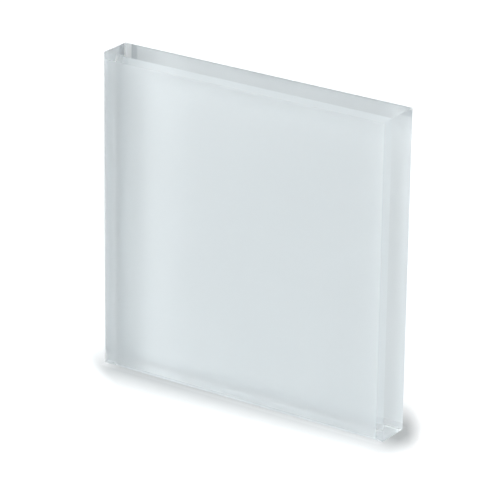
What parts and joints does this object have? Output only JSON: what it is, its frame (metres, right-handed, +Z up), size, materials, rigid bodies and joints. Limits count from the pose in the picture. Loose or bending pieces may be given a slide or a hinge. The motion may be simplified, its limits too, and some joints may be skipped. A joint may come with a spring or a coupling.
{
  "type": "glass block",
  "caption": "Square solid block of thick clear glass with polished edges, ground arrises round both faces and a satin white back face.",
  "frame": {"origin": "centre of the bottom edge's flat, on the level surface that the block stands on", "axes": "+X along the width, +Y through the thickness from the front face to the back face, +Z up"},
  "size_m": [0.1016, 0.014, 0.1016],
  "materials": {
    "clear_glass": "clear low-iron glass, polished faces, edges and arrises, with a satin white back face"
  },
  "bodies": {
    "root": {"glass_block": "clear_glass"}
  },
  "joints": []
}
